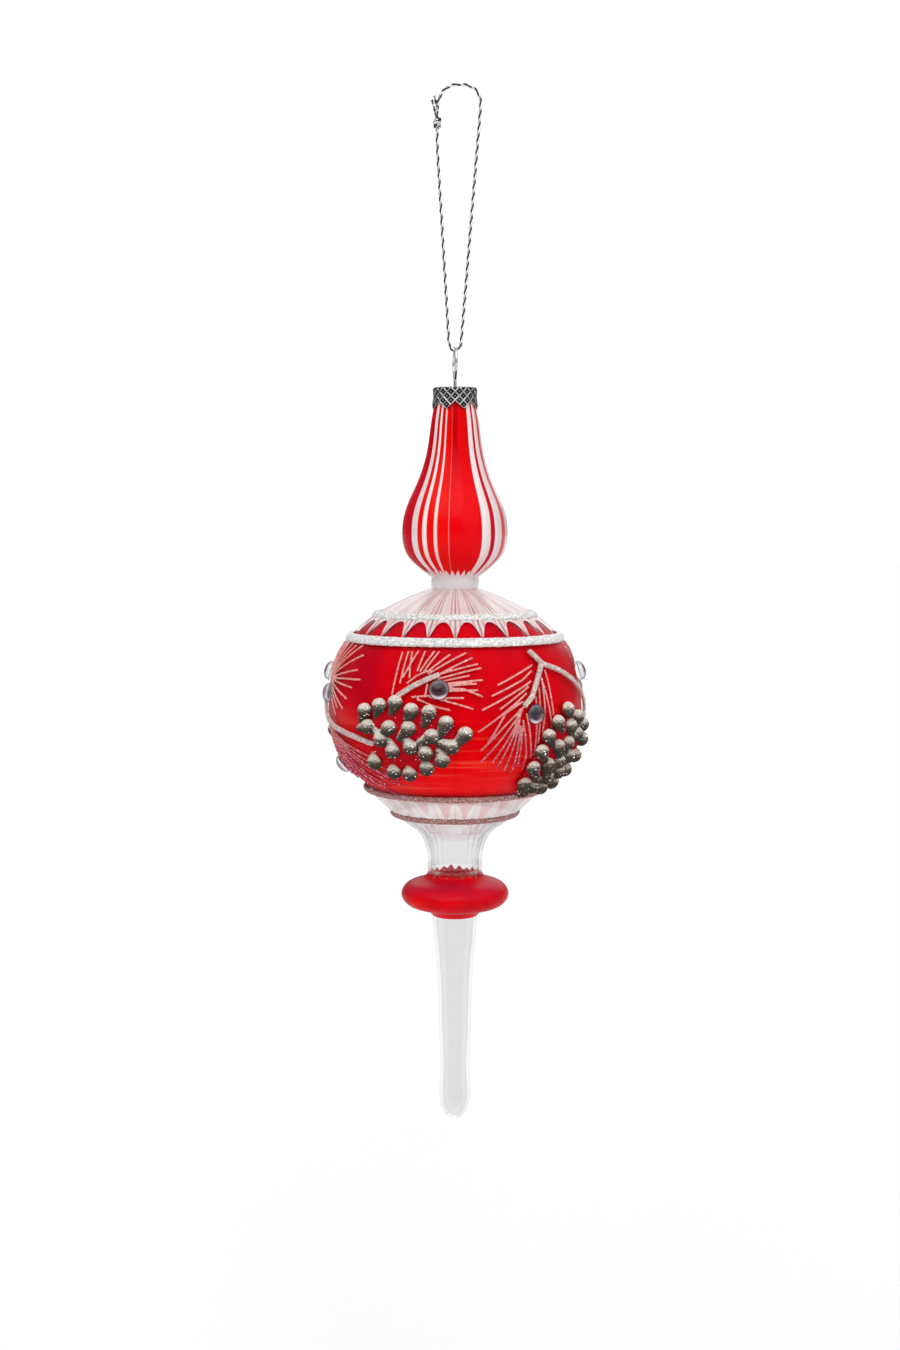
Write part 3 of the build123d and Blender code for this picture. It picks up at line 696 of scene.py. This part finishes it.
def crown():
    """The pressed cap: a lid with a hole, a crimped edge, and a lattice skirt with teeth."""
    cols = 40 * TEETH
    az = np.linspace(0, TAU, cols, endpoint=False)
    tooth = np.abs(((az * TEETH / TAU) % 1) * 2 - 1)
    hem = cap_low + 2.2 * MM * np.clip(tooth * 1.12 - 0.12, 0, 1) ** 0.9
    verts, relief = [], []
    lid = [(1.75, 0.0), (3.0, 0.15), (4.4, 0.0), (5.6, 0.1), (6.3, 0.35), (6.75, 0.3)]
    crimp = 0.5 + 0.5 * np.cos(az * 26)
    for r, up in lid:
        wob = 0.28 * crimp * (r > 5.5)
        verts.append(ring_points(r * MM + 0 * az, cap_top - 0.35 * MM + (up + wob) * MM, az))
        relief.append(0.45 + 0.4 * crimp * (r > 5))
    rows = 44
    for i in range(rows):
        t = (i + 1) / rows
        z = (cap_top - 0.3 * MM) * (1 - t) + hem * t
        flare = 0.5 * MM * np.clip((cap_top - 3.2 * MM - z) / (3.0 * MM), 0, 1)
        u = az * 16 / TAU
        v = (cap_top - z) / (2.7 * MM)
        cross = np.minimum(np.abs((u + v) % 1 - 0.5), np.abs((u - v) % 1 - 0.5)) * 2
        ridge = np.clip(1.35 - cross * 3.0, 0, 1)
        boss = np.clip(1.4 - 6 * np.hypot((u + v + 0.5) % 1 - 0.5, (u - v + 0.5) % 1 - 0.5), 0, 1)
        height = np.maximum(ridge, 0.9 * boss)
        top_wave = 0.16 * MM * crimp * (1 - t) ** 3
        verts.append(ring_points(cap_r - 0.3 * MM + flare + 0.34 * MM * height + top_wave, z, az))
        relief.append(height)
    count = len(lid) + rows
    piece = place(
        "pressed_crown", np.concatenate(verts), grid_faces(count, cols), "cap",
        ["crown_cap"], (crown_metal,),
    )
    data = piece.data.attributes.new("relief", "FLOAT", "POINT")
    data.data.foreach_set("value", np.concatenate(relief).astype(np.float32))
    thick = piece.modifiers.new("sheet", "SOLIDIFY")
    thick.thickness = 0.22 * MM
    thick.offset = -1


crown()


# ---------------------------------------------------------------- blown glass
def scallop(count, depth, shift=0.0, power=1.6):
    """Ribs all round: rounded crowns with a narrow valley between, centred at shift turns."""
    def offset(az, z):
        wave = np.abs(np.sin((az - shift * TAU) * count / 2))
        deep = depth(z) if callable(depth) else depth
        return deep * (1 - wave) ** power
    return offset


def teardrop_depth(z):
    down = [0.094, 0.104, 0.125, 0.138, 0.149, 0.153]
    depths = [0.1 * MM, 0.25 * MM, 0.6 * MM, 0.8 * MM, 0.5 * MM, 0.05 * MM]
    return np.interp(-z, down, depths)


def ball_depth(z):
    rise = (z - equator) / MM
    return np.interp(rise, [-41, -30, -26, 19, 22, 30, 36], [0.35, 0.35, 0.14, 0.14, 0.4, 0.35, 0.1]) * MM


lobes = scallop(LOBES, teardrop_depth, 0.0325 + 1 / 16, 1.2)
ribs = scallop(RIBS, ball_depth, 0.0)
neck_ribs = scallop(RIBS, 0.3 * MM)
fine_ribs = scallop(16, 0.12 * MM)
smooth_wall = scallop(LOBES, 0.0)

blown(
    "teardrop_blown", "teardrop_glass", 150, 240, lobes,
    teardrop_paint(), outer_clear, rim=True,
)
blown("collar_blown", "collar_glass", 12, 192, smooth_wall, milky(), milky())
blown(
    "ball_blown", "ball_glass", 220, 384, ribs,
    ball_paint("ball_outside", False), ball_paint("ball_inside", True),
)
blown("lower_neck_blown", "lower_neck_glass", 40, 384, neck_ribs, outer_clear, neck_inner)
blown("disc_blown", "disc_glass", 70, 240, smooth_wall, disc_paint(), outer_clear)
blown(
    "icicle_blown", "icicle_glass", 160, 128, fine_ribs,
    outer_clear, inner_grey, closed_tip=True,
)

# ---------------------------------------------------------------- glitter rings
ball_r, ball_h = outline("ball_glass")


def ball_radius(z):
    return np.interp(-np.asarray(z), -ball_h, ball_r)


def glitter_ring(node, material, rows=18, cols=1500, grain=0.14):
    """A bead of glitter paste: rough, a little uneven in height and width."""
    low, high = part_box(node)
    mesh = nodes[node].data
    outer = np.array([(math.hypot(v.co.x, v.co.y), v.co.z) for v in mesh.vertices])
    middle_z = (low.z + high.z) / 2
    base = np.array([float(ball_radius(middle_z)), middle_z])
    step = 0.5 * MM
    slope = np.array([
        float(ball_radius(middle_z - step) - ball_radius(middle_z + step)), -2 * step
    ])
    slope /= np.linalg.norm(slope)
    normal = np.array([-slope[1], slope[0]])
    along = (outer - base) @ slope
    up = (outer - base) @ normal
    half, tall = (along.max() - along.min()) / 2, up.max()
    base = base + slope * (along.max() + along.min()) / 2
    az = np.linspace(0, TAU, cols, endpoint=False)
    wander = sum(a * np.sin(k * az + p) for a, k, p in ((0.03, 7, 0.4), (0.04, 31, 2.0), (0.05, 83, 1.1)))
    angle = np.linspace(-0.15, math.pi + 0.15, rows)
    verts = []
    for a in angle:
        rough = rng.normal(0, grain, cols) * MM * math.sin(max(min(a, math.pi), 0)) ** 0.5
        rough = 0.6 * rough + 0.4 * np.roll(rough, 1)
        across = -math.cos(a) * half * (1 + 0.5 * wander) + 0.3 * wander * MM * 0.5
        out = math.sin(a) * tall * (1 + wander) + 0.45 * rough
        r = base[0] + slope[0] * across + normal[0] * out
        z = base[1] + slope[1] * across + normal[1] * out
        verts.append(ring_points(r, z, az))
    return place(
        node + "_paste", np.concatenate(verts), grid_faces(rows, cols), "glass", [node], (material,),
    )


for slot, material in (("white_glitter", white_paste), ("mauve_glitter", mauve_paste)):
    for side in ("upper", "lower"):
        glitter_ring(f"{slot}_ring_{side}", material)


# ---------------------------------------------------------------- raised decoration
def height_over_glass(points):
    """How far points stand over the ball, in metres."""
    r = np.hypot(points[:, 0], points[:, 1])
    z = points[:, 2]
    step = 0.3 * MM
    slope = (ball_radius(z + step) - ball_radius(z - step)) / (2 * step)
    return (r - ball_radius(z)) / np.sqrt(1 + slope ** 2)


def islands(mesh):
    """The connected parts of a mesh, as arrays of vertex numbers."""
    parent = list(range(len(mesh.vertices)))

    def root(i):
        while parent[i] != i:
            parent[i] = parent[parent[i]]
            i = parent[i]
        return i

    where = {}
    for v in mesh.vertices:
        key = tuple(round(c, 6) for c in v.co)
        parent[root(v.index)] = root(where.setdefault(key, v.index))
    for edge in mesh.edges:
        parent[root(edge.vertices[0])] = root(edge.vertices[1])
    groups = {}
    for i in range(len(parent)):
        groups.setdefault(root(i), []).append(i)
    return [np.array(g) for g in groups.values()]


def cone_tails(mesh):
    """A tapering tail of paste behind each drop of a cone, running back to the cone's axis."""
    co = np.array([v.co for v in mesh.vertices])
    drops = [g for g in islands(mesh) if np.ptp(co[g], axis=0).max() < 6 * MM]
    centres = np.array([(co[g].min(0) + co[g].max(0)) / 2 for g in drops])
    out = centres - [0, 0, equator]
    out[:, 2] *= 0.5
    out /= np.linalg.norm(out, axis=1)[:, None]
    face = out.mean(0)
    flat = centres - centres.mean(0)
    flat = flat - np.outer(flat @ face, face)
    along = np.linalg.svd(flat)[2][0]
    across = np.cross(face, along)
    v = flat @ across
    # A cone narrows towards its tip.
    if np.corrcoef(flat @ along, np.abs(v))[0, 1] > 0:
        along = -along
    reach = np.abs(v).max()
    tail_length, head_radius, tail_radius = 5.2, 1.95, 1.0
    share = np.linspace(0, 1, 9)[:, None]
    parts = []
    for centre, way, side in zip(centres, out, v / reach):
        back = -0.5 * along - 2.4 * side * across
        back -= way * (back @ way)
        back /= np.linalg.norm(back)
        line = centre + back * share * tail_length * MM - way * (0.4 + 0.9 * share) * MM
        width = (head_radius - (head_radius - tail_radius) * share[:, 0]) * MM
        parts.append(tube(line, width, 12))
    return parts


def paste(node, material, slot, voxel, melt, grain, full, swell=0.0, tails=False):
    """A CAD decoration melted into one lump of paste, with a granular skin."""
    mesh = nodes[node].data.copy()
    if tails:
        own = (
            np.array([v.co for v in mesh.vertices]), [tuple(f.vertices) for f in mesh.polygons],
        )
        verts, faces = joined([own] + cone_tails(mesh))
        mesh = bpy.data.meshes.new(node + "_tails")
        mesh.from_pydata([tuple(v) for v in verts], [], faces)
    piece = bpy.data.objects.new(node + "_paste", mesh)
    bpy.context.scene.collection.objects.link(piece)
    mesh.materials.clear()
    remesh = piece.modifiers.new("melt", "REMESH")
    remesh.mode = "VOXEL"
    remesh.voxel_size = voxel
    if melt:
        relax = piece.modifiers.new("relax", "SMOOTH")
        relax.factor = 0.5
        relax.iterations = melt
    made = bpy.data.meshes.new_from_object(piece.evaluated_get(bpy.context.evaluated_depsgraph_get()))
    piece.modifiers.clear()
    piece.data = made
    made.materials.append(material)
    count = len(made.vertices)
    co = np.zeros(count * 3)
    made.vertices.foreach_get("co", co)
    co = co.reshape(-1, 3)
    normals = np.zeros(count * 3)
    made.vertices.foreach_get("normal", normals)
    normals = normals.reshape(-1, 3)
    tall = height_over_glass(co)
    rough = rng.normal(0, grain, count) * np.clip(tall / (0.4 * MM), 0, 1)
    beads = 1 + 0.8 * np.sin(co @ np.array([5200.0, 3100.0, 6900.0])) * (swell < 0)
    swelling = swell * np.clip(tall / full * 1.5, 0, 1) * beads
    co = co + normals * (rough + swelling)[:, None]
    made.vertices.foreach_set("co", co.ravel())
    made.polygons.foreach_set("use_smooth", np.ones(len(made.polygons), bool))
    data = made.attributes.new("height", "FLOAT", "POINT")
    data.data.foreach_set("value", np.clip(tall / full, 0, 1).astype(np.float32))
    made.update()
    settle(piece, "glass", [node])


for k in range(1, 5):
    paste(f"pine_cone_{k}", cone_paste, "taupe_glitter", 0.24 * MM, 8, 0.07 * MM, 3.0 * MM, 0.4 * MM, True)
for k in range(1, 7):
    paste(f"twig_{k}", twig_paste, "twig_glitter", 0.22 * MM, 2, 0.05 * MM, 1.0 * MM)
for k in range(1, 9):
    paste(f"needle_sprig_{k}", needle_paste, "needle_glitter", 0.16 * MM, 1, 0.04 * MM, 0.5 * MM, -0.09 * MM)


# ---------------------------------------------------------------- cabochons
def cabochon(k):
    """A clear dome over a silvered foil disc, standing on the ball."""
    node = f"cabochon_{k}"
    mesh = nodes[node].data
    co = np.array([v.co for v in mesh.vertices])
    radius, tall_max, girdle = 3.05 * MM, 2.2 * MM, 0.35 * MM
    seat = (co.min(0) + co.max(0)) / 2
    # The outline seen along the normal is a circle, so its middle is the seat.
    for _ in range(3):
        reach = math.hypot(seat[0], seat[1])
        out = Vector((seat[0] / reach, seat[1] / reach, 0))
        slope = float(ball_radius(seat[2] + MM) - ball_radius(seat[2] - MM)) / (2 * MM)
        normal = (out - Vector((0, 0, slope))).normalized()
        across = Vector((0, 0, 1)).cross(out).normalized()
        side = normal.cross(across)
        level = float((co @ np.array(normal)).max()) - tall_max
        u, v = co @ np.array(across), co @ np.array(side)
        base = across * float(u.min() + u.max()) / 2 + side * float(v.min() + v.max()) / 2
        base = base + normal * level
        seat = np.array(base)
    around, rows = 48, 14
    az = np.linspace(0, TAU, around, endpoint=False)
    verts, faces, ids, out, lower = [], [], [], [], []

    def ring(r, h):
        for a in az:
            p = base + normal * h + across * (r * math.cos(a)) + side * (r * math.sin(a))
            verts.append(tuple(p))
            out.append(r / radius)
            lower.append(max(-math.sin(a) * r / radius, 0))

    for i in range(rows):
        a = (math.pi / 2) * i / (rows - 1)
        ring(max(radius * math.cos(a), 2e-5), girdle + (tall_max - girdle) * math.sin(a))
    ring(radius, girdle)
    ring(radius, -0.3 * MM)
    start_foil = len(verts)
    for r in (0.95, 0.85, 0.7, 0.5, 0.25, 0.005):
        ring(radius * r, 0.2 * MM)
    faces += [tuple(f) for f in grid_faces(rows, around)]
    ids += [0] * ((rows - 1) * around)
    faces += [tuple(f) for f in grid_faces(2, around, rows * around)]
    ids += [0] * around
    faces += [tuple(f) for f in grid_faces(6, around, start_foil)]
    ids += [1] * (5 * around)
    piece = place(
        node + "_dome", verts, faces, "glass", [node], (foil_dome, foil_back), ids,
    )
    for name, values in (("from_centre", out), ("lower", lower)):
        data = piece.data.attributes.new(name, "FLOAT", "POINT")
        data.data.foreach_set("value", np.asarray(values, np.float32))


for k in range(1, 10):
    cabochon(k)

# ---------------------------------------------------------------- studio
floor_z = tip_z - 0.15
reach = 15
floor = bpy.data.objects.new("floor", bpy.data.meshes.new("floor"))
bpy.context.scene.collection.objects.link(floor)
corners = [(-reach, -reach), (reach, -reach), (reach, reach), (-reach, reach)]
floor.data.from_pydata([(x, y, floor_z) for x, y in corners], [], [(0, 1, 2, 3)])
pale = Shader("pale_floor")
pale_grain = pale.mix(pale.noise(3.0, 2.0), (0.8, 0.8, 0.8), (0.82, 0.82, 0.82))
floor.data.materials.append(
    pale.done(pale.principled(Base_Color=pale_grain, Roughness=0.9, Specular_IOR_Level=0.1))
)

world = bpy.data.worlds.new("studio")
bpy.context.scene.world = world
world.use_nodes = True
tree = world.node_tree
tree.nodes.clear()
ray = tree.nodes.new("ShaderNodeLightPath")
white = tree.nodes.new("ShaderNodeBackground")
white.inputs[0].default_value = (1, 1, 1, 1)
white.inputs[1].default_value = 1.02
coordinate = tree.nodes.new("ShaderNodeTexCoord")
split = tree.nodes.new("ShaderNodeSeparateXYZ")
ramp = tree.nodes.new("ShaderNodeMapRange")
light = tree.nodes.new("ShaderNodeBackground")
swap = tree.nodes.new("ShaderNodeMixShader")
sky = tree.nodes.new("ShaderNodeOutputWorld")
ramp.inputs["From Min"].default_value = 0.0
ramp.inputs["From Max"].default_value = 1.0
ramp.inputs["To Min"].default_value = 0.25
ramp.inputs["To Max"].default_value = 0.9
tree.links.new(coordinate.outputs["Generated"], split.inputs[0])
tree.links.new(split.outputs[2], ramp.inputs["Value"])
tree.links.new(ramp.outputs[0], light.inputs[1])
tree.links.new(ray.outputs["Is Camera Ray"], swap.inputs[0])
tree.links.new(light.outputs[0], swap.inputs[1])
tree.links.new(white.outputs[0], swap.inputs[2])
tree.links.new(swap.outputs[0], sky.inputs[0])


def lamp(name, strength, tilt, turn, spread):
    """A broad, soft sun: tilt from straight down, turn round the vertical, in degrees."""
    data = bpy.data.lights.new(name, "SUN")
    data.energy = strength
    data.angle = math.radians(spread)
    made = bpy.data.objects.new(name, data)
    made.rotation_euler = (math.radians(tilt), 0, math.radians(turn))
    bpy.context.scene.collection.objects.link(made)


lamp("key", 1.6, 38, -25, 60)
lamp("fill", 0.85, 55, 45, 70)
lamp("rim", 0.8, 55, 170, 60)

bpy.context.scene.view_settings.view_transform = "Standard"
bpy.context.scene.cycles.transparent_max_bounces = 32
